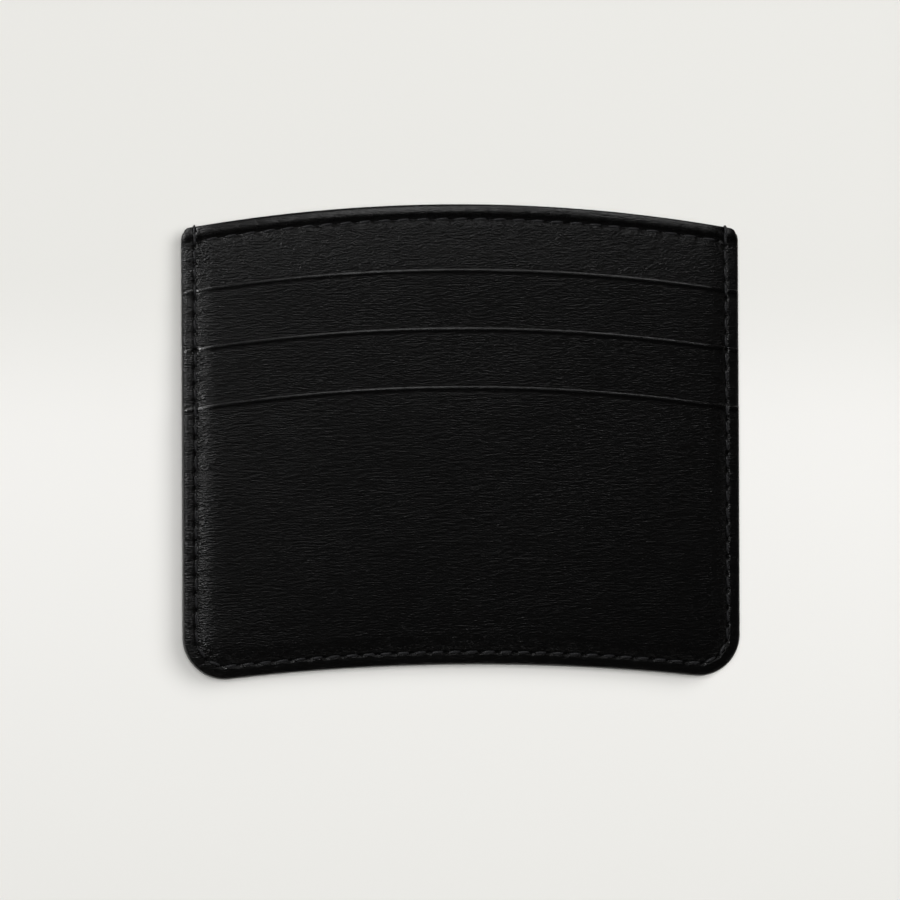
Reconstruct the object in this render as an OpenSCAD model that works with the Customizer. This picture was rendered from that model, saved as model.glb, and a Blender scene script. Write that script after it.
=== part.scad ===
// Leather card holder: two stacks of stepped card pockets, sewn back to back
// along the sides and the foot, with a pocket between them that opens at the top.
// It lies on its back with the front up. X runs across it, Y up to the arched top
// edge and Z out of the front. The origin is on the ground under its middle.

/* [Outline] */
// Width over the painted side edges
holder_w = 100; // [96:1:112]
// Height on the middle line, from the hollow foot to the crown
holder_h = 82.3; // [78:0.1:92]
// Radius of the arched top edge, the crown
crown_r = 283; // [220:1:500]
// Radius of the hollow bottom edge, the foot
foot_r = 380; // [260:1:600]
// Radius of the two bottom corners
corner_r = 7.5; // [5:0.5:12]

/* [Pockets] */
// Distance on the middle line from the crown down to the upper mouth
first_drop = 11.4; // [10:0.1:14]
// Distance on the middle line from one mouth down to the next
mouth_pitch = 10.5; // [8:0.1:12]
// Radius of the arched pocket mouths
mouth_r = 315; // [240:1:500]
// How far a strip reaches down behind the mouth in front of it
strip_tuck = 5; // [4:0.5:8]
// Length of the lap that joins a strip to its tail
lap = 3; // [1:0.5:3.5]
// Width of the glued margin along the sides and the foot
glue_margin = 4.5; // [3.5:0.1:6]
// Slack left in each empty card pocket
slack = 0.1; // [0.05:0.05:0.3]
// Slack on each side of the middle of the centre pocket
centre_slack = 0.15; // [0.05:0.05:0.5]

/* [Layers] */
// Thickness of the leather
leather_t = 0.45; // [0.4:0.05:0.8]
// Thickness of the leather or lining where it is pared down for a lap
pared_t = 0.2; // [0.1:0.05:0.3]
// Thickness of the textile behind the lower panel
facing_t = 0.15; // [0.1:0.05:0.3]
// Thickness of the textile that lines the centre pocket
lining_t = 0.2; // [0.1:0.05:0.4]
// Thickness of the bonded board in each half
board_t = 0.3; // [0.2:0.05:0.6]
// Thickness of the paint on the side and foot edges
paint_t = 0.3; // [0.1:0.05:0.5]

/* [Turned edge] */
// Depth of the leather turned down behind the crown
hem_h = 8; // [5:0.5:9]
// Distance from the crown down to the centre lining's edge
lining_drop = 1.2; // [0.8:0.1:3]

/* [Seams] */
// Distance of the side and foot seam from the outer edge
seam_inset = 2.35; // [2:0.05:3]
// Distance of the top seam from the crown
top_seam_inset = 2.6; // [2:0.1:4]
// Stitch length along the sides and the foot
seam_pitch = 3.1; // [2.5:0.1:4]
// Stitch length along the crown
top_pitch = 3.4; // [2.5:0.1:4]
// Width of the thread, pressed flat
thread_w = 0.45; // [0.3:0.05:0.6]
// Thickness of the thread, pressed flat
thread_t = 0.2; // [0.1:0.05:0.2]
// Depth of the groove that the thread lies in
groove_d = 0.25; // [0.2:0.05:0.3]
// Width of that groove
groove_w = 0.7; // [0.65:0.05:1]

/* [Hidden] */

$fn = 720;
past = 1; // how far a cutting shape runs past what it cuts
stitch_gap = 0.6; // bare leather between two stitches, where the thread dives

// Plan: the outline's four arcs share these centres
half_w = holder_w / 2;
corner_x = half_w - corner_r;
foot_turn = asin(corner_x / (foot_r + corner_r));
corner_rise = (foot_r + corner_r) * cos(foot_turn) - foot_r;
crown_top = (holder_h + corner_r - corner_rise) / 2;
foot_top = crown_top - holder_h;
corner_y = foot_top + corner_rise;
crown_cy = crown_top - crown_r;
foot_cy = foot_top - foot_r;

// Section: heights above the middle plane between the two halves
lining_top = centre_slack + lining_t;
board_top = lining_top + board_t;
base_top = board_top + leather_t;
sheet_t = slack + leather_t;
upper_z = base_top;
middle_z = upper_z + sheet_t;
lower_z = middle_z + sheet_t;
facing_top = lower_z + slack + facing_t;
half_t = facing_top + leather_t;
nose_r = (base_top - lining_top) / 2; // round of the turned edge

// Drop from a strip's mouth to where its tail begins behind it
tail_drop = mouth_pitch + strip_tuck - lap;

UPPER = 0;
MIDDLE = 1;
LOWER = 2;

function mouth_cy(level) = crown_top - first_drop - level * mouth_pitch - mouth_r;
function arc_y(x, centre_y, radius) = centre_y + sqrt(radius * radius - x * x);
function is_under(x, y, level) = y < arc_y(x, mouth_cy(level), mouth_r);

// Height of the face that shows at a place on the front
function face_z(x, y) =
    is_under(x, y, LOWER) ? half_t :
    is_under(x, y, MIDDLE) ? lower_z :
    is_under(x, y, UPPER) ? middle_z : base_top;

// ---- plan shapes ----

// What is cut away outside a bottom corner's arc
module corner_waste(inset) {
    reach = 2 * corner_r;
    difference() {
        polygon([
            [corner_x, corner_y],
            [half_w + past, corner_y],
            [half_w + past, corner_y - reach],
            [corner_x - reach * sin(foot_turn), corner_y - reach * cos(foot_turn)]
        ]);
        translate([corner_x, corner_y]) circle(corner_r - inset);
    }
}

// Sides, bottom corners and foot, drawn in by an inset and open upwards
module open_outline(inset) {
    floor_y = corner_y - corner_r - past;
    difference() {
        translate([inset - half_w, floor_y])
            square([holder_w - 2 * inset, crown_top + past - floor_y]);
        translate([0, foot_cy]) circle(foot_r + inset);
        corner_waste(inset);
        mirror([1, 0]) corner_waste(inset);
    }
}

// All that lies at least a drop below the crown
module under_crown(drop) {
    translate([0, crown_cy]) circle(crown_r - drop);
}

// All that lies at least a drop below a pocket mouth
module under_mouth(level, drop) {
    translate([0, mouth_cy(level)]) circle(mouth_r - drop);
}

// A whole sheet as it is cut, inside the edge paint and under the crown
module sheet_plan(drop) {
    intersection() {
        open_outline(paint_t);
        under_crown(drop);
    }
}

// A pocket sheet as it is cut, from a drop below its mouth to the foot
module pocket_plan(level, drop) {
    intersection() {
        open_outline(paint_t);
        under_mouth(level, drop);
    }
}

// The line of the side and foot seam, as a band
module seam_band() {
    difference() {
        open_outline(seam_inset - groove_w / 2);
        open_outline(seam_inset + groove_w / 2);
    }
}

// The line of the top seam, as a band from one side seam to the other
module top_seam_band() {
    reach = half_w - seam_inset - groove_w;
    intersection() {
        difference() {
            under_crown(top_seam_inset - groove_w / 2);
            under_crown(top_seam_inset + groove_w / 2);
        }
        translate([-reach, 0]) square([2 * reach, crown_top]);
    }
}

// ---- solids shared by the pieces ----

module slab(z, t) {
    translate([0, 0, z]) linear_extrude(t) children();
}

// Hollows the rear of a sheet inside its glued margins, so that a pocket opens
module relieve(z, depth) {
    difference() {
        children();
        slab(z - past, past + depth) open_outline(glue_margin);
    }
}

// Presses the side and foot seam's groove into a sheet's face
module groove(face) {
    difference() {
        children();
        slab(face - groove_d, groove_d + past) seam_band();
    }
}

// A flat stitch that lies in its groove, centred on a place and turned along the seam
module stitch(place, turn, length, face) {
    translate([place.x, place.y, face - groove_d]) rotate(turn)
        translate([-length / 2, -thread_w / 2, 0]) cube([length, thread_w, thread_t]);
}

// Places along an arc, evenly spaced, each as [x, y, turn]
function arc_run(centre, radius, from, to, pitch) =
    let (count = round(abs(to - from) * PI / 180 * radius / pitch))
    [for (i = [0.5 : count])
        let (a = from + (to - from) * i / count)
        [centre.x + radius * cos(a), centre.y + radius * sin(a), a + 90]];

// Places down one side, from the crown to the corner
function side_run(x) =
    let (high = arc_y(x, crown_cy, crown_r), count = round((high - corner_y) / seam_pitch))
    [for (i = [0.5 : count]) [x, high - (high - corner_y) * i / count, 90]];

// Places along the whole seam: side, corner, foot, corner, side
seam_x = half_w - seam_inset;
seam_run = concat(
    side_run(-seam_x),
    arc_run([-corner_x, corner_y], corner_r - seam_inset, 180, 270 + foot_turn, seam_pitch),
    arc_run([0, foot_cy], foot_r + seam_inset, 90 + foot_turn, 90 - foot_turn, seam_pitch),
    arc_run([corner_x, corner_y], corner_r - seam_inset, 270 - foot_turn, 360, seam_pitch),
    side_run(seam_x)
);

module seam_stitches() {
    for (p = seam_run)
        stitch(p, p.z, seam_pitch - stitch_gap, face_z(p.x, p.y));
}

module top_seam_stitches() {
    radius = crown_r - top_seam_inset;
    spread = asin((seam_x - groove_w - thread_w) / radius);
    for (p = arc_run([0, crown_cy], radius, 90 + spread, 90 - spread, top_pitch))
        stitch(p, p.z, top_pitch - stitch_gap, base_top);
}

// The last stitch of a side seam, carried over the crown from the front to the back
module over_edge_stitch(side) {
    turn = side * asin(seam_x / crown_r);
    translate([0, crown_cy, -base_top]) rotate(-turn)
        translate([-thread_w / 2, crown_r, 0]) cube([thread_w, thread_t, 2 * base_top]);
}

// ---- the pieces of one half, front side up, on the middle plane ----

// Leather over the lower half of the face, the front of the lowest pocket
module lower_panel() {
    groove(half_t) slab(facing_top, leather_t) pocket_plan(LOWER, 0);
}

// Textile glued behind the lower panel
module lower_lining() {
    relieve(lower_z, slack) slab(lower_z, slack + facing_t) pocket_plan(LOWER, 0);
}

// Leather strip that shows above the pocket in front of it, pared at its foot
module pocket_strip(level, z) {
    groove(z + sheet_t) relieve(z, slack) difference() {
        slab(z, sheet_t) difference() {
            pocket_plan(level, 0);
            under_mouth(level, tail_drop + lap);
        }
        slab(z - past, past + slack + pared_t) under_mouth(level, tail_drop);
    }
}

// Lining that carries a strip's pocket down to the foot, lapped behind the strip
module pocket_tail(level, z) {
    groove(z + sheet_t) relieve(z, slack) difference() {
        slab(z, sheet_t) pocket_plan(level, tail_drop);
        slab(z + slack + pared_t, sheet_t) difference() {
            under_mouth(level, 0);
            under_mouth(level, tail_drop + lap);
        }
    }
}

// Leather over the whole half, turned down behind the crown in a round nose
module base_panel() {
    groove(base_top) difference() {
        union() {
            slab(board_top, leather_t) sheet_plan(nose_r);
            slab(lining_top, 2 * nose_r) difference() {
                sheet_plan(nose_r);
                under_crown(hem_h);
            }
            intersection() {
                translate([0, crown_cy, lining_top + nose_r]) rotate_extrude()
                    translate([crown_r - nose_r, 0]) circle(nose_r);
                slab(0, base_top) sheet_plan(0);
            }
        }
        slab(base_top - groove_d, groove_d + past) top_seam_band();
    }
}

// Bonded board under the turned edge, which keeps the half flat
module stiffener() {
    slab(lining_top, board_t) sheet_plan(hem_h);
}

// Textile that lines one side of the centre pocket
module centre_lining() {
    relieve(0, centre_slack) slab(0, lining_top) sheet_plan(lining_drop);
}

// Paint over the raw edges of one half, stepped where each pocket begins
module half_paint() {
    slab(0, base_top) paint_band() under_crown(0);
    slab(upper_z, sheet_t) paint_band() under_mouth(UPPER, 0);
    slab(middle_z, sheet_t) paint_band() under_mouth(MIDDLE, 0);
    slab(lower_z, half_t - lower_z) paint_band() under_mouth(LOWER, 0);
}

module paint_band() {
    intersection() {
        difference() {
            open_outline(0);
            open_outline(paint_t);
        }
        children();
    }
}

// ---- the two halves ----

module front() {
    translate([0, 0, half_t]) children();
}

module back() {
    translate([0, 0, half_t]) mirror([0, 0, 1]) children();
}

module front_lower_panel() { color("#17171a") front() lower_panel(); }
module front_lower_lining() { color("#3a3a3e") front() lower_lining(); }
module front_middle_strip() { color("#1d1d20") front() pocket_strip(MIDDLE, middle_z); }
module front_middle_tail() { color("#3a3a3e") front() pocket_tail(MIDDLE, middle_z); }
module front_upper_strip() { color("#232327") front() pocket_strip(UPPER, upper_z); }
module front_upper_tail() { color("#3a3a3e") front() pocket_tail(UPPER, upper_z); }
module front_base_panel() { color("#2a2a2e") front() base_panel(); }
module front_stiffener() { color("#8a7a63") front() stiffener(); }
module front_centre_lining() { color("#46464b") front() centre_lining(); }

module back_lower_panel() { color("#17171a") back() lower_panel(); }
module back_lower_lining() { color("#3a3a3e") back() lower_lining(); }
module back_middle_strip() { color("#1d1d20") back() pocket_strip(MIDDLE, middle_z); }
module back_middle_tail() { color("#3a3a3e") back() pocket_tail(MIDDLE, middle_z); }
module back_upper_strip() { color("#232327") back() pocket_strip(UPPER, upper_z); }
module back_upper_tail() { color("#3a3a3e") back() pocket_tail(UPPER, upper_z); }
module back_base_panel() { color("#2a2a2e") back() base_panel(); }
module back_stiffener() { color("#8a7a63") back() stiffener(); }
module back_centre_lining() { color("#46464b") back() centre_lining(); }

module front_top_seam_thread() { color("#4a4a4e") front() top_seam_stitches(); }
module back_top_seam_thread() { color("#4a4a4e") back() top_seam_stitches(); }

// Upper thread of the side and foot seam, with its last stitches over the crown
module needle_thread() {
    color("#4a4a4e") front() {
        seam_stitches();
        over_edge_stitch(-1);
        over_edge_stitch(1);
    }
}

module bobbin_thread() { color("#4a4a4e") back() seam_stitches(); }

module edge_paint() {
    color("#33302e") {
        front() half_paint();
        back() half_paint();
    }
}

front_lower_panel();
front_lower_lining();
front_middle_strip();
front_middle_tail();
front_upper_strip();
front_upper_tail();
front_base_panel();
front_stiffener();
front_centre_lining();
back_lower_panel();
back_lower_lining();
back_middle_strip();
back_middle_tail();
back_upper_strip();
back_upper_tail();
back_base_panel();
back_stiffener();
back_centre_lining();
front_top_seam_thread();
back_top_seam_thread();
needle_thread();
bobbin_thread();
edge_paint();
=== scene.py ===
"""A leather card holder, made up in the order a small leather workshop makes one:
boards and base panels, pocket strips on their textile tails, lower panels, the sewing,
and last the paint on the raw edges. It lies on its back, front up."""

import math

import bmesh
import bpy
import numpy as np
from mathutils import Matrix, Vector


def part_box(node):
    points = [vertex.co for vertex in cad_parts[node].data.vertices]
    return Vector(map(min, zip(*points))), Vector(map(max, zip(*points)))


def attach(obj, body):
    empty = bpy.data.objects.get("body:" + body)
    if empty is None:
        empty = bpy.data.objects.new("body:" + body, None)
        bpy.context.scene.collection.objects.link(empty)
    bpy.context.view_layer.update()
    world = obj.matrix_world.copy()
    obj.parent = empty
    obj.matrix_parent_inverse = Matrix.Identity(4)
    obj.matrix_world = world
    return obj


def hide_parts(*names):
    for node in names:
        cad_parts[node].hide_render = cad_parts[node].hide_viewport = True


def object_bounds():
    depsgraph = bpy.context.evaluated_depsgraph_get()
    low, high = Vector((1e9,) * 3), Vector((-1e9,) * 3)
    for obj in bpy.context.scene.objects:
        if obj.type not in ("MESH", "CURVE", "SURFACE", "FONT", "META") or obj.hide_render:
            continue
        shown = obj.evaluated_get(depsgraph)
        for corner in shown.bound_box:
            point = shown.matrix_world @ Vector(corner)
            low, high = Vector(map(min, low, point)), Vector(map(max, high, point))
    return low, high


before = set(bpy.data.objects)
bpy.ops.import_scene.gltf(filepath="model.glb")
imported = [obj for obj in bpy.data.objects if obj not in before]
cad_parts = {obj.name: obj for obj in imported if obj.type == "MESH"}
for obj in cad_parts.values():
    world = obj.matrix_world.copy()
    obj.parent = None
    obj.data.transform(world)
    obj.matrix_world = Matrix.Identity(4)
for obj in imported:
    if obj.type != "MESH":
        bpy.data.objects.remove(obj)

cad_low, cad_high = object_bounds()
MM = 0.001


# ---- The view ------------------------------------------------------------------------
# A long lens nine tenths of a metre above the holder looks straight down at its front,
# a few degrees from its left, with the open top edge at the top of the view.

LENS_MM = 200
VIEW_DISTANCE = 0.8942
VIEW_LEAN = math.radians(5.2)
VIEW_ROLL = math.radians(-0.2)
AIM_OFFSET = Vector((-2.08, -1.6, 0)) * MM

middle = (cad_low + cad_high) / 2
towards_eye = Vector((-math.sin(VIEW_LEAN), 0, math.cos(VIEW_LEAN)))
camera = bpy.data.objects.new("view_camera", bpy.data.cameras.new("view_camera"))
bpy.context.scene.collection.objects.link(camera)
camera.data.lens = LENS_MM
camera.data.sensor_width = 36
camera.data.clip_start, camera.data.clip_end = 0.05, 50
camera.rotation_mode = "QUATERNION"
camera.location = middle + AIM_OFFSET + towards_eye * VIEW_DISTANCE
right = Vector((0, 1, 0)).cross(towards_eye).normalized()
facing = Matrix((right, towards_eye.cross(right), towards_eye)).transposed()
roll = Matrix.Rotation(VIEW_ROLL, 3, towards_eye)
camera.rotation_quaternion = (roll @ facing).to_quaternion()
bpy.context.scene.camera = camera


# ---- The pattern ---------------------------------------------------------------------
# The cutting pattern that every sheet follows: an arched crown, straight sides, a hollow
# foot between round corners, and three arched pocket mouths, each on its own centre.

CROWN_R = 283 * MM
FOOT_R = 380 * MM
MOUTH_R = 315 * MM
CORNER_R = 7.5 * MM
TIP_R = 1.5 * MM          # round where a side meets the crown

half_w = (cad_high.x - cad_low.x) / 2
crown_cy = cad_high.y - CROWN_R
corner_x = half_w - CORNER_R
corner_y = cad_low.y + CORNER_R
foot_cy = corner_y - math.sqrt((FOOT_R + CORNER_R) ** 2 - corner_x ** 2)
foot_turn = math.asin(corner_x / (FOOT_R + CORNER_R))
tip_x = half_w - TIP_R
tip_y = crown_cy + math.sqrt((CROWN_R - TIP_R) ** 2 - tip_x ** 2)
mouth_top = {
    "upper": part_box("front_upper_strip")[1].y,
    "middle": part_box("front_middle_strip")[1].y,
    "lower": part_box("front_lower_panel")[1].y,
}


def smooth_step(value, low, high):
    t = np.clip((value - low) / (high - low), 0, 1)
    return t * t * (3 - 2 * t)


def crown_line(x, inset):
    """Height of the crown at x, with the round tips of a sheet trimmed by an inset."""
    arc = crown_cy + np.sqrt(CROWN_R ** 2 - x ** 2)
    over = np.clip((np.abs(x) - tip_x) / (TIP_R - inset), 0, 1)
    tip = tip_y + TIP_R * np.sqrt(1 - over ** 2)
    return np.where(np.abs(x) > tip_x, np.minimum(arc, tip), arc)


def mouth_line(level, x, drop=0.0):
    """Height at x of a pocket mouth, or of a line a drop below it."""
    radius = MOUTH_R - drop
    return mouth_top[level] - MOUTH_R + np.sqrt(radius ** 2 - x ** 2)


def foot_line(x, inset):
    """Height at x of the foot and its round corners, trimmed by an inset."""
    arc = foot_cy + np.sqrt((FOOT_R + inset) ** 2 - x ** 2)
    radius = CORNER_R - inset
    over = np.clip(np.abs(x) - corner_x, -radius, radius)
    corner = corner_y - np.sqrt(radius ** 2 - over ** 2)
    turn_x = corner_x - radius * math.sin(foot_turn)
    return np.where(np.abs(x) > turn_x, corner, arc)


def edge_depth(x, y):
    """How far a place lies inside the sides, the bottom corners and the foot."""
    dx, dy = np.abs(x) - corner_x, y - corner_y
    beside = half_w - np.abs(x)
    above = np.hypot(x, y - foot_cy) - FOOT_R
    in_corner = (dy < 0) & (dx * math.cos(foot_turn) - dy * math.sin(foot_turn) > 0)
    return np.where(in_corner, CORNER_R - np.hypot(dx, dy), np.minimum(beside, above))


def crown_depth(x, y):
    return CROWN_R - np.hypot(x, y - crown_cy)


def is_under(level, x, y):
    return y < mouth_line(level, x)


# ---- The seams -----------------------------------------------------------------------
# One seam runs down the left side, round the foot and up the right side through every
# layer. Each half also has a seam of its own below its turned top edge. The thread pulls
# the leather down in a groove, with a dimple at each needle hole and puckers beside it.

SEAM_INSET = 2.35 * MM
SEAM_PITCH = 3.1 * MM
TOP_SEAM_INSET = 2.6 * MM
TOP_SEAM_PITCH = 3.4 * MM
SEAM_CLEAR = 1.3 * MM        # how far the top seam stops short of the side seams
LINE_STEP = 0.1 * MM


def arc_points(centre, radius, start, end, step):
    count = max(2, round(abs(end - start) * radius / step) + 1)
    turn = np.linspace(start, end, count)
    return np.column_stack([centre[0] + radius * np.cos(turn), centre[1] + radius * np.sin(turn)])


def side_to_side(inset, top_y, step):
    """The line down the left side, round the foot and up the right side, inside an inset."""
    radius = CORNER_R - inset
    side_x = half_w - inset
    drop = np.linspace(top_y, corner_y, max(2, round((top_y - corner_y) / step)))
    left = np.column_stack([np.full(len(drop), -side_x), drop])
    quarter, half = math.pi / 2, math.pi
    parts = [
        left[:-1],
        arc_points((-corner_x, corner_y), radius, half, 3 * quarter + foot_turn, step)[:-1],
        arc_points((0, foot_cy), FOOT_R + inset, quarter + foot_turn, quarter - foot_turn, step)[:-1],
        arc_points((corner_x, corner_y), radius, 3 * quarter - foot_turn, 2 * half, step)[:-1],
        np.column_stack([np.full(len(drop), side_x), drop[::-1]]),
    ]
    return np.concatenate(parts)


def evenly(line, count):
    """Count + 1 places at equal distances along a line, with the way it runs at each."""
    steps = np.hypot(*np.diff(line, axis=0).T)
    run = np.concatenate([[0], np.cumsum(steps)])
    at = np.linspace(0, run[-1], count + 1)
    spots = np.column_stack([np.interp(at, run, line[:, i]) for i in (0, 1)])
    eps = run[-1] * 1e-4
    ahead = np.column_stack([np.interp(at + eps, run, line[:, i]) for i in (0, 1)])
    behind = np.column_stack([np.interp(at - eps, run, line[:, i]) for i in (0, 1)])
    way = ahead - behind
    return spots, way / np.hypot(*way.T)[:, None]


seam_x = half_w - SEAM_INSET
seam_top = float(crown_line(np.array(seam_x), 0)) - 0.5 * MM
seam_line = side_to_side(SEAM_INSET, seam_top, LINE_STEP)
seam_length = np.hypot(*np.diff(seam_line, axis=0).T).sum()
seam_holes, seam_way = evenly(seam_line, round(seam_length / SEAM_PITCH))

top_seam_r = CROWN_R - TOP_SEAM_INSET
top_spread = math.asin((seam_x - SEAM_CLEAR) / top_seam_r)
top_line = arc_points(
    (0, crown_cy), top_seam_r, math.pi / 2 + top_spread, math.pi / 2 - top_spread, LINE_STEP
)
top_length = 2 * top_spread * top_seam_r
top_holes, top_way = evenly(top_line, round(top_length / TOP_SEAM_PITCH))

QUICK_REACH = 3.4 * MM       # how far in from the side seam the panels rise most
SIDE_DRAW = 0.14 * MM        # how far the side seam draws the leather down beside it
TOP_DRAW = 0.22 * MM
TOP_DRAW_REACH = 1.2 * MM
OUTER_DRAW_REACH = 0.35 * MM
GROOVE_DEPTH = 0.13 * MM
GROOVE_WIDTH = 0.26 * MM
HOLE_DEPTH = 0.34 * MM
HOLE_WIDTH = 0.34 * MM
PUCKER_DEPTH = 0.10 * MM
PUCKER_WIDTH = 0.6 * MM
PUCKER_REACH = 1.4 * MM


def pull_of(x, y, depth, holes, way, draw, draw_reach):
    """How far one seam pulls a sheet down at each place, depth being the way in from it."""
    drawn = np.where(depth > 0, 1 - depth / draw_reach, 1 + depth / OUTER_DRAW_REACH)
    groove = GROOVE_DEPTH * np.exp(-((depth / GROOVE_WIDTH) ** 2))
    pull = draw * np.clip(drawn, 0, 1) ** 1.6 + groove
    near = np.flatnonzero(np.abs(depth) < 4 * PUCKER_REACH)
    for hole, along in zip(holes, way):
        dx, dy = x[near] - hole[0], y[near] - hole[1]
        close = np.abs(dx) + np.abs(dy) < 5 * PUCKER_REACH
        at, dx, dy = near[close], dx[close], dy[close]
        run = dx * along[0] + dy * along[1]
        off = np.hypot(dx, dy)
        dimple = HOLE_DEPTH * np.exp(-((off / HOLE_WIDTH) ** 2))
        fade = np.exp(-np.abs(depth[at]) / PUCKER_REACH)
        pucker = PUCKER_DEPTH * np.exp(-((run / PUCKER_WIDTH) ** 2)) * fade
        pull[at] += dimple + pucker
    return pull


def seam_pull(x, y):
    side = pull_of(x, y, edge_depth(x, y) - SEAM_INSET, seam_holes, seam_way,
                   draw=SIDE_DRAW, draw_reach=QUICK_REACH)
    top = pull_of(x, y, crown_depth(x, y) - TOP_SEAM_INSET, top_holes, top_way,
                  draw=TOP_DRAW, draw_reach=TOP_DRAW_REACH)
    between = 1 - smooth_step(np.abs(x), seam_x - SEAM_CLEAR, seam_x)
    above_mouth = ~is_under("upper", x, y)
    return side + top * between * above_mouth


# ---- The stack of layers -------------------------------------------------------------
# Each half is a stack of thin sheets that lie free inside the seams and are pressed hard
# under the thread and at the edge. Heights are measured from the middle plane, where the
# two halves meet, and the free ones come from the frame.

mid_z = middle.z
CENTRE_SLACK = 0.15 * MM
POCKET_SLACK = 0.1 * MM
SLOW_REACH = 16 * MM         # how far in from the seam a panel reaches its full height
MARGIN_FALL = 0.30 * MM      # how far the strip outside the seam falls towards the edge
MARGIN_START = 0.3 * MM      # how far outside the seam that fall begins
FULL_PULL_Z = 0.8 * MM       # height from which a surface follows the thread's whole pull
TRIM = 0.3 * MM              # how far the sheets stop inside the painted edge
MOUTH_GAPE = 0.30 * MM       # how far each half bows away from the centre pocket's mouth
GAPE_REACH = 29 * MM


def free_top(node):
    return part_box(node)[1].z - mid_z


free = {
    "gap": CENTRE_SLACK,
    "lining": free_top("front_centre_lining"),
    "board": free_top("front_stiffener"),
    "base": free_top("front_base_panel"),
    "upper": free_top("front_upper_strip"),
    "middle": free_top("front_middle_strip"),
    "facing": free_top("front_lower_lining"),
    "lower": free_top("front_lower_panel"),
}
free["upper_rear"] = free["base"] + POCKET_SLACK
free["middle_rear"] = free["upper"] + POCKET_SLACK
free["facing_rear"] = free["middle"] + POCKET_SLACK

# Heights of the same surfaces where the thread and the edge press them together.
sewn = {
    "gap": 0.0,
    "lining": 0.12 * MM,
    "board": 0.38 * MM,
    "base": 0.80 * MM,
    "upper": 1.22 * MM,
    "middle": 1.64 * MM,
    "facing": 1.74 * MM,
    "lower": 2.18 * MM,
}
sewn["upper_rear"] = sewn["base"]
sewn["middle_rear"] = sewn["upper"]
sewn["facing_rear"] = sewn["middle"]

CROWN_PRESS = 0.58           # how much thinner the turned edge is pressed at the crown
PRESS_REACH = 11 * MM


def press(x, y):
    """The turned top edge is hammered down, so each half thins towards its crown."""
    return 1 - CROWN_PRESS * np.clip(1 - crown_depth(x, y) / PRESS_REACH, 0, 1) ** 1.25


def gape(x, y):
    across = np.clip(1 - (x / seam_x) ** 2, 0, 1) ** 2
    return MOUTH_GAPE * across * np.clip(1 - crown_depth(x, y) / GAPE_REACH, 0, 1) ** 2


def height(surface, x, y):
    """Height of a surface of the front half's stack above the middle plane."""
    depth = edge_depth(x, y)
    quick = 1 - (1 - np.clip((depth - SEAM_INSET) / QUICK_REACH, 0, 1)) ** 1.8
    slow = 1 - (1 - np.clip((depth - SEAM_INSET) / SLOW_REACH, 0, 1)) ** 3
    inside = 0.6 * quick + 0.4 * slow
    z = (sewn[surface] + (free[surface] - sewn[surface]) * inside) * press(x, y)
    outside = np.clip((SEAM_INSET - MARGIN_START - depth) / (SEAM_INSET - TRIM), 0, 1)
    z_share = np.clip(z / FULL_PULL_Z, 0, 1)
    z = z - z_share * (MARGIN_FALL * outside + seam_pull(x, y))
    return z + gape(x, y)


# ---- Cutting a sheet -----------------------------------------------------------------
# Every sheet is cut from flat stock: a grid is raised to a slab, then laid between two
# lines of the pattern and two heights of the stack. Its free edges are rounded off, as a
# maker rounds them with a slicker. The back half repeats the front, turned over.

SIDE_STEP = 0.4 * MM
FINE_STEP = 0.2 * MM
FINE_BAND = 4 * MM      # how wide the finely divided band beside the seams is
SANDED_REACH = 0.8 * MM # how far in from the outer edge the corner is sanded round
SANDED_WIDTH = 0.5 * MM
SANDED_FALL = 0.12 * MM


def graded(*runs):
    """Places from runs of (start, end, step), each place once."""
    parts = [np.linspace(a, b, max(2, round((b - a) / step) + 1))[:-1] for a, b, step in runs]
    return np.concatenate(parts + [[runs[-1][1]]])


def columns(step):
    """Places across a sheet, closer together beside the seams."""
    edge = half_w - TRIM
    right = graded((0, edge - FINE_BAND, step), (edge - FINE_BAND, edge, min(step, FINE_STEP)))
    return np.concatenate([-right[:0:-1], right])


def lay_sheet(name, top, bottom, across, down, faces, lip, marks=None):
    """A slab between the lines top(x) and bottom(x) and the heights in faces = (rear, front).

    across holds places in x, down the shares of the way from top to bottom, and lip is
    the depth over which the top edge is rounded."""
    sheet = bmesh.new()
    bmesh.ops.create_grid(sheet, x_segments=len(across) - 1, y_segments=len(down) - 1, size=1)
    raised = bmesh.ops.extrude_face_region(sheet, geom=sheet.faces[:], use_keep_orig=True)
    tops = [v for v in raised["geom"] if isinstance(v, bmesh.types.BMVert)]
    bmesh.ops.translate(sheet, verts=tops, vec=(0, 0, 1))
    bmesh.ops.recalc_face_normals(sheet, faces=sheet.faces[:])
    mesh = bpy.data.meshes.new(name)
    sheet.to_mesh(mesh)
    sheet.free()

    flat = np.empty(len(mesh.vertices) * 3)
    mesh.vertices.foreach_get("co", flat)
    flat = flat.reshape(-1, 3)
    column = np.rint((flat[:, 0] + 1) / 2 * (len(across) - 1)).astype(int)
    row = np.rint((1 - flat[:, 1]) / 2 * (len(down) - 1)).astype(int)
    x = across[column]
    y = top(x) + (bottom(x) - top(x)) * down[row]
    rear, front = (height_at(x, y) for height_at in faces)
    centre, half = (front + rear) / 2, (front - rear) / 2
    share = np.clip((top(x) - y) / lip, 0, 1)
    half = half * np.sqrt(np.clip(1 - (1 - share) ** 2, 0.02, 1))
    outer = np.clip((SANDED_REACH - edge_depth(x, y)) / SANDED_WIDTH, 0, 1)
    z = centre + np.where(flat[:, 2] > 0.5, half, -half)
    z -= SANDED_FALL * outer ** 1.4 * np.clip(z / FULL_PULL_Z, 0, 1)
    mesh.vertices.foreach_set("co", np.column_stack([x, y, mid_z + z]).ravel())
    for mark, share_at in (marks or {}).items():
        layer = mesh.attributes.new(mark, "FLOAT", "POINT")
        layer.data.foreach_set("value", share_at(x, y).astype(np.float32))
    mesh.update()
    return mesh


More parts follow.
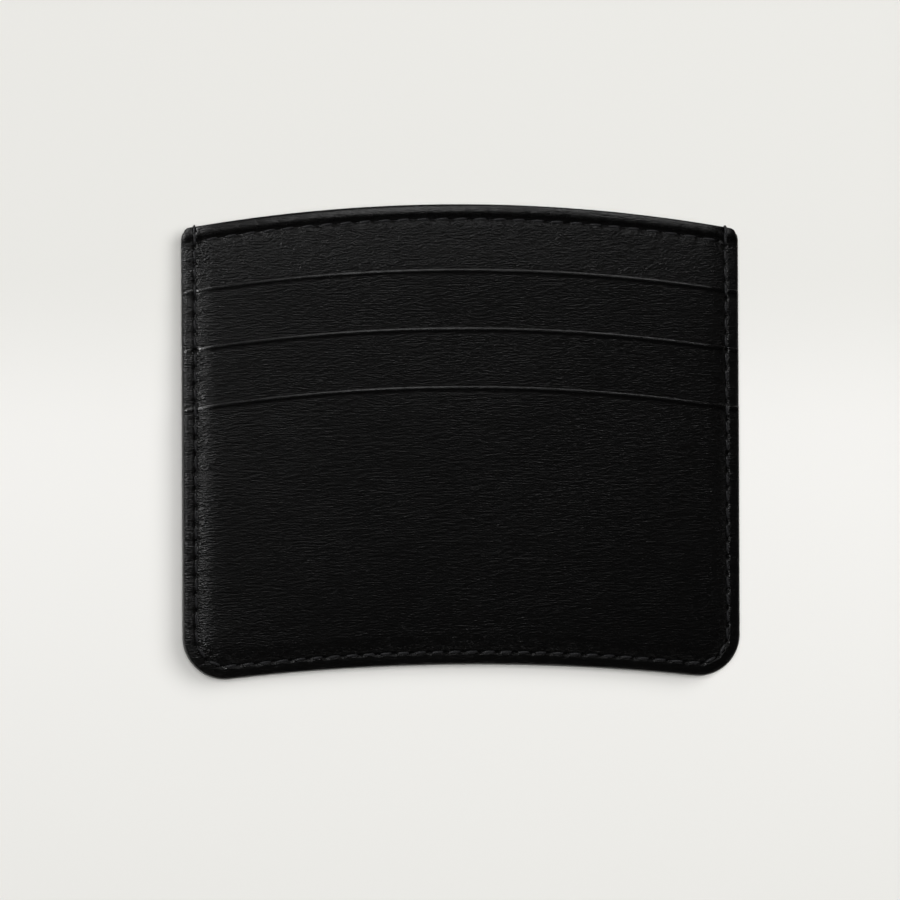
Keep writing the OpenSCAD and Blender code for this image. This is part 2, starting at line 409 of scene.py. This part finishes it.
def turn_over(mesh):
    """Turns a piece over about the middle plane, to make the back half's from the front's."""
    mesh.transform(Matrix.Translation((0, 0, 2 * mid_z)) @ Matrix.Scale(-1, 4, (0, 0, 1)))
    mesh.flip_normals()


def place(mesh, *materials):
    """Puts a finished mesh into the scene and on the holder's one body."""
    for material in materials:
        mesh.materials.append(material)
    mesh.shade_smooth()
    mesh.set_sharp_from_angle(angle=math.radians(55))
    piece = bpy.data.objects.new(mesh.name, mesh)
    bpy.context.scene.collection.objects.link(piece)
    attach(piece, "root")
    return piece


# ---- Bonded boards -------------------------------------------------------------------
# Thin bonded leather fibre board glued behind each base panel. It stops short of the
# turned top edge and keeps the half flat. Hidden once the holder is closed.

def new_material(name):
    material = bpy.data.materials.new(name)
    material.use_nodes = True
    return material, material.node_tree, material.node_tree.nodes["Principled BSDF"]


def link(tree, source, node, socket):
    output = source if isinstance(source, bpy.types.NodeSocket) else source.outputs[0]
    tree.links.new(output, node.inputs[socket])


def add(tree, kind, values=None, **settings):
    node = tree.nodes.new(kind)
    for key, value in settings.items():
        setattr(node, key, value)
    for socket, value in (values or {}).items():
        if isinstance(value, (bpy.types.Node, bpy.types.NodeSocket)):
            link(tree, value, node, socket)
        else:
            node.inputs[socket].default_value = value
    return node


def stretched(tree, scale):
    """Object coordinates in millimetres, stretched along the axes."""
    coordinates = add(tree, "ShaderNodeTexCoord")
    return add(
        tree, "ShaderNodeMapping",
        {"Vector": coordinates.outputs["Object"], "Scale": [1000 * s for s in scale]},
    )


def noise(tree, vector, detail=0.0):
    return add(tree, "ShaderNodeTexNoise", {"Vector": vector, "Scale": 1.0, "Detail": detail})


def stood_out(tree, shader, height_map, depth, strength=1.0):
    """Lets a map stand out of the surface, depth being how far a whole unit of it stands."""
    bump = add(tree, "ShaderNodeBump",
               {"Height": height_map, "Strength": strength, "Distance": depth})
    link(tree, bump, shader, "Normal")


def two_tone(tree, shader, share, dark, pale):
    """Colours the surface between two shades, given as red, green and blue."""
    tone = add(tree, "ShaderNodeMix", {"Factor": share, "A": (*dark, 1), "B": (*pale, 1)},
               data_type="RGBA")
    link(tree, tone.outputs["Result"], shader, "Base Color")


def bonded_board():
    material, tree, shader = new_material("bonded_board")
    fibres = noise(tree, stretched(tree, (1.2, 2.5, 2.5)), detail=5.0)
    two_tone(tree, shader, fibres, (0.13, 0.10, 0.07), (0.26, 0.21, 0.16))
    stood_out(tree, shader, fibres, 0.05 * MM, strength=0.6)
    shader.inputs["Roughness"].default_value = 0.85
    return material


HEM_H = 8 * MM
HIDDEN_STEP = 1.6 * MM
HIDDEN_LIP = 0.1 * MM
hidden_columns = columns(HIDDEN_STEP)


def face_of(name):
    return lambda x, y: height(name, x, y)


def hidden_rows(length):
    foot_band = length - FINE_BAND
    return graded((0, foot_band, HIDDEN_STEP), (foot_band, length, 0.5 * MM)) / length


def whole_foot(x):
    return foot_line(x, TRIM)


def hem_line(x):
    return crown_cy + np.sqrt((CROWN_R - HEM_H) ** 2 - x ** 2)


board = bonded_board()
for half in ("front", "back"):
    mesh = lay_sheet(
        half + "_bonded_board", hem_line, whole_foot, hidden_columns, hidden_rows(75 * MM),
        (face_of("lining"), face_of("board")), lip=HIDDEN_LIP,
    )
    if half == "back":
        turn_over(mesh)
    piece = place(mesh, board)
    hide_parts(half + "_stiffener")


# ---- Base panels ---------------------------------------------------------------------
# The leather that carries each half's pockets. Its top edge is pared, turned down over the
# board's edge and glued, so the crown is a smooth round nose. Only a band of it shows.

def maths(tree, operation, first, second=0.0):
    return add(tree, "ShaderNodeMath", {0: first, 1: second}, operation=operation)


def spread(tree, value, low, high, to_low, to_high, blend="LINEAR"):
    """The share that a value has run from low to high, carried over to another range."""
    return add(
        tree, "ShaderNodeMapRange",
        {"Value": value, "From Min": low, "From Max": high, "To Min": to_low, "To Max": to_high},
        interpolation_type=blend,
    )


def marked(tree, name):
    return add(tree, "ShaderNodeAttribute", attribute_name=name).outputs["Fac"]


def centred(tree, value, strength):
    return maths(tree, "MULTIPLY", maths(tree, "SUBTRACT", value, 0.5), strength)


def strengthened(tree, grain, by_gathers, by_pebbles):
    """The grain, deeper where the thread gathers the leather and where it is pebbled."""
    more = maths(tree, "ADD", maths(tree, "MULTIPLY", marked(tree, "gathered"), by_gathers),
                 maths(tree, "MULTIPLY", marked(tree, "pebbled"), by_pebbles))
    return maths(tree, "MULTIPLY", grain, maths(tree, "ADD", more, 1.0))


def boarded_leather():
    """Black calf, folded on itself and rolled by hand, which raises fine short waves across
    the skin over its own pebble. Wax leaves the ridges smoother than the furrows. The colour
    is painted shade in the furrows and painted highlight on the ridges, strongest in the
    gathers beside the seams."""
    material, tree, shader = new_material("boarded_leather")
    sway = noise(tree, stretched(tree, (0.10, 0.20, 0.20)))
    swayed = add(tree, "ShaderNodeVectorMath",
                 {0: stretched(tree, (0.7, 3.6, 3.6)), 1: sway.outputs["Color"]},
                 operation="ADD")
    waves = centred(tree, noise(tree, swayed), 0.7)
    fine = centred(tree, noise(tree, stretched(tree, (2.6, 6.2, 6.2))), 0.55)
    pebbles = centred(tree, noise(tree, stretched(tree, (2.1, 3.1, 3.1))), 1.15)
    mixed = add(tree, "ShaderNodeMix", {
        "Factor": marked(tree, "pebbled"), "A": maths(tree, "ADD", waves, fine), "B": pebbles,
    })
    patch = noise(tree, stretched(tree, (0.06, 0.09, 0.09)), detail=2.0)
    share = spread(tree, patch, 0.35, 0.65, 0.85, 1.1)
    smoothed = marked(tree, "smoothed")
    share = maths(tree, "MULTIPLY", share, spread(tree, smoothed, 0.0, 1.0, 1.0, 0.18))
    grain = maths(tree, "MULTIPLY", mixed, share)
    stood_out(tree, shader, strengthened(tree, grain, 0.9, 2.2), 0.112 * MM)
    # Painted shade and highlight: the grain's height darkens the colour in the furrows and lightens
    # it on the ridges, five times as much in the gathers beside the seams. The same map also sets the
    # gloss.
    painted_shade_and_gloss = strengthened(tree, grain, 5.0, 2.5)
    rough = spread(tree, painted_shade_and_gloss, -0.6, 0.6, 0.50, 0.26)
    rough = maths(tree, "SUBTRACT", rough, maths(tree, "MULTIPLY", smoothed, 0.12))
    link(tree, rough, shader, "Roughness")
    two_tone(tree, shader, spread(tree, painted_shade_and_gloss, -0.25, 0.25, 0.0, 1.0),
             (0.0002, 0.0002, 0.0002), (0.0014, 0.0013, 0.0013))
    return material


NOSE_R = 0.5 * MM
NOSE_PUFF = 0.20 * MM
GATHER_REACH = 1.8 * MM
BASE_PEBBLE = 0.35           # how much of the base panels' grain is pebble


def hem_rear(x, y):
    """The rear of the panel: the turned-down leather near the crown, the board below it."""
    folded = 1 - smooth_step(crown_depth(x, y), HEM_H - 0.3 * MM, HEM_H)
    return height("board", x, y) + (height("lining", x, y) - height("board", x, y)) * folded


def hem_front(x, y):
    """The front of the panel, puffed a little over the fold above the top seam."""
    over = np.clip(crown_depth(x, y) / TOP_SEAM_INSET, 0, 1)
    return height("base", x, y) + NOSE_PUFF * np.sin(math.pi * over ** 1.35)


def gathered(x, y):
    """The side seams' thread gathers the leather into small wrinkles just inside them."""
    inside = edge_depth(x, y) - SEAM_INSET
    return np.exp(-np.clip(inside, 0, None) / GATHER_REACH) * (inside > -0.3 * MM)


def pebbled_all_over(x, y):
    return np.full(len(x), BASE_PEBBLE)


def smoothed_at_crown(x, y):
    return 1 - smooth_step(crown_depth(x, y), 1.6 * MM, 2.8 * MM)


leather = boarded_leather()
base_h = 83 * MM
shown_rows = graded(
    (0, 0.06 * MM, 0.02 * MM), (0.06 * MM, 0.5 * MM, 0.07 * MM), (0.5 * MM, 4 * MM, 0.2 * MM),
    (4 * MM, 13 * MM, SIDE_STEP), (13 * MM, 78 * MM, 4 * MM), (78 * MM, base_h, 0.5 * MM),
) / base_h
for half in ("front", "back"):
    mesh = lay_sheet(
        half + "_base_leather", lambda x: crown_line(x, TRIM), whole_foot,
        columns(SIDE_STEP), shown_rows, (hem_rear, hem_front), lip=NOSE_R,
        marks={"smoothed": smoothed_at_crown, "gathered": gathered, "pebbled": pebbled_all_over},
    )
    if half == "back":
        turn_over(mesh)
    piece = place(mesh, leather)
    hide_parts(half + "_base_panel")


# ---- Linings of the centre pocket ----------------------------------------------------
# Fine black twill glued over each board and the turned leather's raw edge. The two face
# each other across the centre pocket, and show only through its mouth.

def threads(tree, scale, way):
    return add(tree, "ShaderNodeTexWave",
               {"Vector": stretched(tree, (1, 1, 1)), "Scale": scale, "Distortion": 0.4,
                "Detail": 1.0}, bands_direction=way).outputs["Fac"]


def lining_twill():
    material, tree, shader = new_material("lining_textile")
    weave = maths(tree, "MAXIMUM", threads(tree, 1.3, "X"), threads(tree, 1.5, "Y"))
    stood_out(tree, shader, weave, 0.03 * MM, strength=0.8)
    two_tone(tree, shader, weave, (0.004, 0.004, 0.0045), (0.014, 0.014, 0.015))
    shader.inputs["Roughness"].default_value = 0.8
    return material


LINING_DROP = 1.2 * MM
twill = lining_twill()


def cut_size(top, bottom):
    """A sheet's greatest width and length as cut, and the area inside its pattern lines."""
    x = np.linspace(TRIM - half_w, half_w - TRIM, 400)
    lengths = top(x) - bottom(x)
    area = float(((lengths[1:] + lengths[:-1]) / 2 * np.diff(x)).sum())
    return (2 * (half_w - TRIM), float(top(x).max() - bottom(x).min())), area


def declare_cloth(top, bottom):
    """Works out a lining's size and area as cut flat to the pattern, and does nothing more with them.
    """
    flat, area = cut_size(top, bottom)


def lining_line(x):
    return crown_cy + np.sqrt((CROWN_R - LINING_DROP) ** 2 - x ** 2)


for half in ("front", "back"):
    mesh = lay_sheet(
        half + "_centre_twill", lining_line, whole_foot, hidden_columns, hidden_rows(82 * MM),
        (face_of("gap"), face_of("lining")), lip=HIDDEN_LIP,
    )
    if half == "back":
        turn_over(mesh)
    piece = place(mesh, twill)
    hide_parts(half + "_centre_lining")
    declare_cloth(lining_line, whole_foot)


# ---- Pocket strips and their tails ---------------------------------------------------
# Two leather strips a half, each the front of a card pocket. A strip shows for a finger's
# breadth and ends just behind the next mouth, where a thinner textile tail is lapped
# behind it and carries the pocket down to the foot.

STRIP_TUCK = 5 * MM
LAP = 3 * MM
LEATHER_T = 0.45 * MM
PARED = 0.2 * MM             # how much of a strip's thickness is pared off where a tail laps it
GLUE_GAP = 0.02 * MM
PARE_SLOPE = 0.3 * MM
LIP = 0.1 * MM
MOUTH_ROLL = 0.15 * MM
MOUTH_ROLL_REACH = 0.5 * MM
CREASE_DROP = 1.2 * MM
CREASE_DEPTH = 0.014 * MM
CREASE_WIDTH = 0.28 * MM
mouth_pitch = mouth_top["upper"] - mouth_top["middle"]
strip_h = mouth_pitch + STRIP_TUCK
mouth_runs = (
    (0, 0.04 * MM, 0.013 * MM), (0.04 * MM, 0.28 * MM, 0.06 * MM), (0.28 * MM, 2 * MM, 0.15 * MM),
)
strip_rows = graded(*mouth_runs, (2 * MM, strip_h, SIDE_STEP)) / strip_h


def pressed_at_mouth(level):
    """The strip's edge is creased and slicked, so its grain is smooth beside the mouth."""
    return lambda x, y: 1 - smooth_step(mouth_line(level, x) - y, 0.7 * MM, 1.3 * MM)


def creased(level):
    """The front of a strip or panel, with a rolled mouth above a heated crease line."""
    def front(x, y):
        drop = mouth_line(level, x) - y
        roll = MOUTH_ROLL * np.clip(1 - drop / MOUTH_ROLL_REACH, 0, 1) ** 1.2
        crease = CREASE_DEPTH * np.exp(-(((drop - CREASE_DROP) / CREASE_WIDTH) ** 2))
        return height(level, x, y) - roll - crease
    return front


def strip_rear(level):
    """The strip's rear, pared away where the tail is lapped behind it."""
    def rear(x, y):
        drop = mouth_line(level, x) - y
        lapped = smooth_step(drop, strip_h - LAP, strip_h - LAP + PARE_SLOPE)
        low, high = height(level + "_rear", x, y), height(level, x, y)
        return low + (high - low) * (PARED / LEATHER_T) * lapped
    return rear


def tail_front(level):
    """The tail's front: a thin lap behind the strip, then the pocket's full thickness."""
    def front(x, y):
        clear = smooth_step(mouth_line(level, x) - y, strip_h, strip_h + PARE_SLOPE)
        low, high = height(level + "_rear", x, y), height(level, x, y)
        lap = (PARED - GLUE_GAP) / LEATHER_T
        return low + (high - low) * (lap * (1 - clear) + 0.9 * clear)
    return front


for level in ("upper", "middle"):
    def strip_top(x, level=level):
        return mouth_line(level, x)

    def strip_end(x, level=level):
        return mouth_line(level, x, strip_h)

    def tail_top(x, level=level):
        return mouth_line(level, x, strip_h - LAP)

    for half in ("front", "back"):
        mesh = lay_sheet(
            f"{half}_{level}_leather", strip_top, strip_end, columns(SIDE_STEP), strip_rows,
            (strip_rear(level), creased(level)), lip=LIP,
            marks={"smoothed": pressed_at_mouth(level), "gathered": gathered},
        )
        if half == "back":
            turn_over(mesh)
        piece = place(mesh, leather)
        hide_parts(f"{half}_{level}_strip")

        mesh = lay_sheet(
            f"{half}_{level}_twill", tail_top, whole_foot, hidden_columns, hidden_rows(55 * MM),
            (face_of(level + "_rear"), tail_front(level)), lip=HIDDEN_LIP,
        )
        if half == "back":
            turn_over(mesh)
        piece = place(mesh, twill)
        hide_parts(f"{half}_{level}_tail")
        declare_cloth(tail_top, whole_foot)


# ---- Lower panels --------------------------------------------------------------------
# The largest leather piece of each half, over its lowest pocket, with a textile glued
# behind it. Stretched over the stack while damp, it swells softly between the seams.

def lower_top(x):
    return mouth_line("lower", x)


lower_h = (mouth_top["lower"] - cad_low.y) - 2.7 * MM
foot_start = lower_h - 4.2 * MM
panel_rows = graded(
    *mouth_runs, (2 * MM, foot_start, SIDE_STEP), (foot_start, lower_h, FINE_STEP),
) / lower_h
for half in ("front", "back"):
    mesh = lay_sheet(
        half + "_lower_leather", lower_top, whole_foot, columns(SIDE_STEP), panel_rows,
        (face_of("facing"), creased("lower")), lip=LIP,
        marks={"smoothed": pressed_at_mouth("lower"), "gathered": gathered},
    )
    if half == "back":
        turn_over(mesh)
    piece = place(mesh, leather)
    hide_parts(half + "_lower_panel")

    mesh = lay_sheet(
        half + "_lower_twill", lower_top, whole_foot, hidden_columns, hidden_rows(50 * MM),
        (face_of("facing_rear"), face_of("facing")), lip=HIDDEN_LIP,
    )
    if half == "back":
        turn_over(mesh)
    piece = place(mesh, twill)
    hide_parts(half + "_lower_lining")
    declare_cloth(lower_top, whole_foot)


# ---- The sewing ----------------------------------------------------------------------
# Three-ply waxed thread. Each stitch dives into its needle hole at both ends and lies a
# little aslant in the groove. At the crown the side seam's last stitch is carried over
# the edge, which locks the ends of the centre pocket.

THREAD_R = 0.23 * MM
STITCH_RINGS = 15
STITCH_SIDES = 12
STITCH_SLANT = 0.1 * MM
STITCH_LIFT = 0.4         # how far a stitch stands up on the leather, in thread radii
STITCH_DIVE = 0.85 * MM   # how deep its ends dive into the needle holes
PLY_DEPTH = 0.12          # how deep the furrows between the plies are, as a share
LOOP_RINGS = 31
LOOP_REACH = 2.3 * MM     # how far the stitches over the crown reach down each face


def waxed_thread():
    material, tree, shader = new_material("sewing_thread")
    fibres = noise(tree, stretched(tree, (9, 9, 9)), detail=2.0)
    stood_out(tree, shader, fibres, 0.02 * MM, strength=0.8)
    two_tone(tree, shader, fibres, (0.005, 0.005, 0.0055), (0.016, 0.016, 0.0172))
    shader.inputs["Roughness"].default_value = 0.42
    return material


def face_height(x, y):
    """Height of the leather that shows at each place on the front."""
    z = np.where(is_under("lower", x, y), height("lower", x, y), hem_front(x, y))
    for level, below in (("middle", "lower"), ("upper", "middle")):
        shows = is_under(level, x, y) & ~is_under(below, x, y)
        z = np.where(shows, height(level, x, y), z)
    return z


def rods(count, sides, rings):
    """Many plain closed rods in one mesh, each a unit apart along X, to be bent to shape."""
    rod = bmesh.new()
    bmesh.ops.create_cone(rod, cap_ends=True, segments=sides, radius1=0.2, radius2=0.2, depth=1)
    long_edges = [e for e in rod.edges if abs(e.verts[0].co.z - e.verts[1].co.z) > 0.5]
    bmesh.ops.subdivide_edges(rod, edges=long_edges, cuts=rings - 2, use_grid_fill=True)
    first = rod.verts[:] + rod.edges[:] + rod.faces[:]
    for i in range(1, count):
        copy = bmesh.ops.duplicate(rod, geom=first)
        verts = [v for v in copy["geom"] if isinstance(v, bmesh.types.BMVert)]
        bmesh.ops.translate(rod, verts=verts, vec=(i, 0, 0))
    return rod


def unbent(rod, name):
    """The rods as a mesh, and for each of its points the rod it is on, how far along it
    the point is, as a share, and how far round it, as an angle."""
    mesh = bpy.data.meshes.new(name)
    rod.to_mesh(mesh)
    rod.free()
    flat = np.empty(len(mesh.vertices) * 3)
    mesh.vertices.foreach_get("co", flat)
    flat = flat.reshape(-1, 3)
    which = np.rint(flat[:, 0]).astype(int)
    share = np.clip(flat[:, 2] + 0.5, 0, 1)
    turn = np.arctan2(flat[:, 1], flat[:, 0] - which)
    return mesh, which, share, turn


def bend_rods(rod, name, centre_of, side_of, up_of, radius_of):
    """Bends each rod along its own line. The callables take (rod, share along it)."""
    mesh, which, share, turn = unbent(rod, name)
    out = side_of(which, share) * np.cos(turn)[:, None] + up_of(which, share) * np.sin(turn)[:, None]
    co = centre_of(which, share) + out * radius_of(which, share, turn)[:, None]
    mesh.vertices.foreach_set("co", co.ravel())
    mesh.update()
    return mesh


def stitches(name, holes):
    """One stitch from each needle hole to the next, lying on the front."""
    start, end = holes[:-1], holes[1:]
    way = end - start
    way /= np.hypot(*way.T)[:, None]
    aside = np.column_stack([way[:, 1], -way[:, 0]])
    middles = (start + end) / 2
    bed = face_height(middles[:, 0], middles[:, 1])

    def centre_of(which, share):
        run = 0.10 + 0.80 * share
        slant = STITCH_SLANT * (1 - 2 * share)
        flat = start[which] + (end - start)[which] * run[:, None] + aside[which] * slant[:, None]
        lift = THREAD_R * STITCH_LIFT - STITCH_DIVE * np.abs(2 * share - 1) ** 5
        z = mid_z + bed[which] + lift
        return np.column_stack([flat, z])

    def side_of(which, share):
        return np.column_stack([aside[which], np.zeros(len(which))])

    def up_of(which, share):
        return np.tile([0.0, 0.0, 1.0], (len(which), 1))

    def radius_of(which, share, turn):
        plies = 1 + PLY_DEPTH * np.cos(3 * turn + 9.5 * share)
        return THREAD_R * plies * (0.75 + 0.25 * np.sin(math.pi * share) ** 0.4)

    return bend_rods(rods(len(start), STITCH_SIDES, STITCH_RINGS), name,
                     centre_of, side_of, up_of, radius_of)


def over_edge_loops(name):
    """The last stitch of each side seam, up the front, over the crown and down the back."""
    top_z = float(face_height(np.array([seam_x]), np.array([seam_top - 1 * MM]))[0])

    def centre_of(which, share):
        side = np.where(which == 0, -1.0, 1.0)
        swing = math.pi * (share - 0.5)
        over = np.sign(np.sin(swing)) * np.abs(np.sin(swing)) ** 0.5
        rise = np.abs(np.cos(swing)) ** 0.55
        x = side * (seam_x + 0.1 * MM * np.sin(swing))
        crown = crown_line(np.abs(x), 0)
        y = crown + 0.1 * MM - LOOP_REACH * (1 - rise)
        thick = top_z + 0.1 * MM - 0.35 * MM * (np.abs(2 * share - 1) > 0.9)
        return np.column_stack([x, y, mid_z + thick * over])

    def side_of(which, share):
        return np.tile([1.0, 0.0, 0.0], (len(which), 1))

    def up_of(which, share):
        swing = math.pi * (share - 0.5)
        return np.column_stack([np.zeros(len(which)), np.cos(swing), np.sin(swing)])

    def radius_of(which, share, turn):
        return THREAD_R * (1 + PLY_DEPTH * np.cos(3 * turn + 16 * share))

    return bend_rods(rods(2, STITCH_SIDES, LOOP_RINGS), name,
                     centre_of, side_of, up_of, radius_of)


thread_finish = waxed_thread()
for half in ("front", "back"):
    mesh = stitches(half + "_top_stitches", top_holes)
    if half == "back":
        turn_over(mesh)
    piece = place(mesh, thread_finish)
    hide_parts(half + "_top_seam_thread")

for side in ("needle", "bobbin"):
    mesh = stitches(side + "_stitches", seam_holes)
    if side == "bobbin":
        turn_over(mesh)
    piece = place(mesh, thread_finish)
    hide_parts(side + "_thread")

piece = place(over_edge_loops("over_edge_stitches"), thread_finish)
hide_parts("needle_thread")


# ---- Edge paint ----------------------------------------------------------------------
# The raw edges of all layers, sanded flush and painted in several coats that dry to one
# domed bead. It runs down the left side, round the foot and up the right side, and steps
# down where a layer ends at a pocket mouth.

BEAD_SWELL = 0.78 * MM       # how far the bead stands out from its flat inner wall
BEAD_WALL = 0.35 * MM        # how far that wall reaches in over the sheets' ends
BEAD_INSET = 0.45 * MM       # where the stack's height is taken for the bead's edge
BEAD_BELOW = 0.1 * MM        # how far the bead stays below the leather's face
BEAD_TIP_TURN = math.radians(66)
BEAD_SIDES = 36
BEAD_RINGS = 900
BEAD_CLOSE_RINGS = 8


def painted_edge():
    material, tree, shader = new_material("edge_paint")
    coats = noise(tree, stretched(tree, (0.7, 0.7, 1.6)), detail=3.0)
    stood_out(tree, shader, coats, 0.05 * MM)
    two_tone(tree, shader, coats, (0.003, 0.0026, 0.0023), (0.006, 0.0052, 0.0046))
    link(tree, spread(tree, coats, 0.3, 0.7, 0.40, 0.50), shader, "Roughness")
    shader.inputs["Specular IOR Level"].default_value = 0.4
    return material


def bead(name):
    """One rod bent round the holder: a boxy dome outside, a flat wall inside the leather."""
    line = side_to_side(0, tip_y, LINE_STEP)
    right_tip = arc_points((tip_x, tip_y), TIP_R, 0, BEAD_TIP_TURN, LINE_STEP)
    left_tip = (right_tip * [-1, 1])[::-1]
    line = np.concatenate([left_tip[:-1], line, right_tip[1:]])
    edge_at, way = evenly(line, BEAD_RINGS - 1)
    outward = np.column_stack([-way[:, 1], way[:, 0]]) * -1
    inner = edge_at - outward * BEAD_INSET
    inner_y = np.minimum(inner[:, 1], crown_line(inner[:, 0], TRIM) - 0.5 * MM)
    half_t = face_height(inner[:, 0], inner_y) - BEAD_BELOW
    from_end = np.minimum(np.arange(BEAD_RINGS), np.arange(BEAD_RINGS)[::-1])
    close = np.clip(from_end / BEAD_CLOSE_RINGS, 0, 1) ** 0.5

    mesh, _, share, turn = unbent(rods(1, BEAD_SIDES, BEAD_RINGS), name)
    at = np.rint(share * (BEAD_RINGS - 1)).astype(int)
    dome = BEAD_SWELL * np.abs(np.cos(turn)) ** 0.6 * close[at]
    wall = -BEAD_WALL * np.abs(np.cos(turn)) ** 0.3
    out = np.where(np.cos(turn) > 0, dome, wall)
    z = half_t[at] * np.sign(np.sin(turn)) * np.abs(np.sin(turn)) ** 0.7
    centre = edge_at[at] - outward[at] * BEAD_SWELL
    co = np.column_stack([centre + outward[at] * out[:, None], mid_z + z])
    mesh.vertices.foreach_set("co", co.ravel())
    mesh.update()
    return mesh


piece = place(bead("painted_edge"), painted_edge())
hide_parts("edge_paint")


# ---- The table and the light ---------------------------------------------------------
# A pale seamless table and soft studio light. Two large lamps light the table and throw
# the soft shadow to the left. Four small ones show only as sheen on the leather and the
# thread, and the sky is brightest near the horizon.

TABLE_RADIUS = 1.4


def table_with_painted_shade():
    """Painted shade: the table's tone falls off a little above the holder and below it, standing in
    for the light falling off away from the holder.
    """
    material, tree, shader = new_material("table_with_painted_shade")
    along = add(tree, "ShaderNodeSeparateXYZ", {"Vector": stretched(tree, (1, 1, 1))})
    upper = spread(tree, along.outputs["Y"], 0.0, 32.0, 0.0, 1.0, blend="SMOOTHSTEP")
    lower = spread(tree, along.outputs["Y"], -8.0, -90.0, 0.0, 0.9)
    # Painted shade: darker above the holder and below it, paler around it.
    two_tone(tree, shader, maths(tree, "MAXIMUM", upper, lower),
             (0.815, 0.806, 0.782), (0.745, 0.738, 0.708))
    shader.inputs["Roughness"].default_value = 0.9
    shader.inputs["Specular IOR Level"].default_value = 0.1
    return material


table = bmesh.new()
bmesh.ops.create_circle(table, cap_ends=True, segments=96, radius=TABLE_RADIUS)
table_mesh = bpy.data.meshes.new("table")
table.to_mesh(table_mesh)
table.free()
table_mesh.materials.append(table_with_painted_shade())
table_piece = bpy.data.objects.new("table", table_mesh)
bpy.context.scene.collection.objects.link(table_piece)


def lamp(name, position, size, power, sheen):
    """A soft rectangular lamp aimed at the holder. It shows either as sheen on glossy
    surfaces or as plain light on matt ones."""
    light = bpy.data.lights.new(name, "AREA")
    light.shape = "RECTANGLE"
    light.size, light.size_y = size
    light.energy = power
    stand = bpy.data.objects.new(name, light)
    stand.location = position
    stand.rotation_euler = Vector(position).to_track_quat("Z", "Y").to_euler()
    stand.visible_camera = False
    stand.visible_glossy = sheen
    stand.visible_diffuse = not sheen
    bpy.context.scene.collection.objects.link(stand)


lamp("table_light_right", (1.32, 0.72, 2.16), (1.8, 1.8), 43.0, sheen=False)
lamp("table_light_top", (-0.2, 0.1, 2.2), (0.7, 0.7), 32.0, sheen=False)
lamp("sheen_near", (0.0, 0.155, 0.205), (0.05, 0.05), 0.029, sheen=True)
lamp("sheen_left_far", (-0.11, 0.17, 0.185), (0.06, 0.05), 0.045, sheen=True)
lamp("sheen_right", (0.075, 0.19, 0.185), (0.06, 0.05), 0.036, sheen=True)
lamp("sheen_left", (-0.205, 0.105, 0.225), (0.06, 0.08), 0.260, sheen=True)

world = bpy.data.worlds.new("studio")
bpy.context.scene.world = world
world.use_nodes = True
sky = world.node_tree
view_way = add(sky, "ShaderNodeTexCoord")
split = add(sky, "ShaderNodeSeparateXYZ", {"Vector": view_way.outputs["Generated"]})
shade = spread(sky, split.outputs["Z"], 0.02, 0.45, 0.35, 0.004, blend="SMOOTHSTEP")
link(sky, shade, sky.nodes["Background"], "Strength")
sky.nodes["Background"].inputs["Color"].default_value = (1.0, 0.99, 0.97, 1)

bpy.context.scene.view_settings.view_transform = "Standard"
bpy.context.scene.view_settings.look = "None"
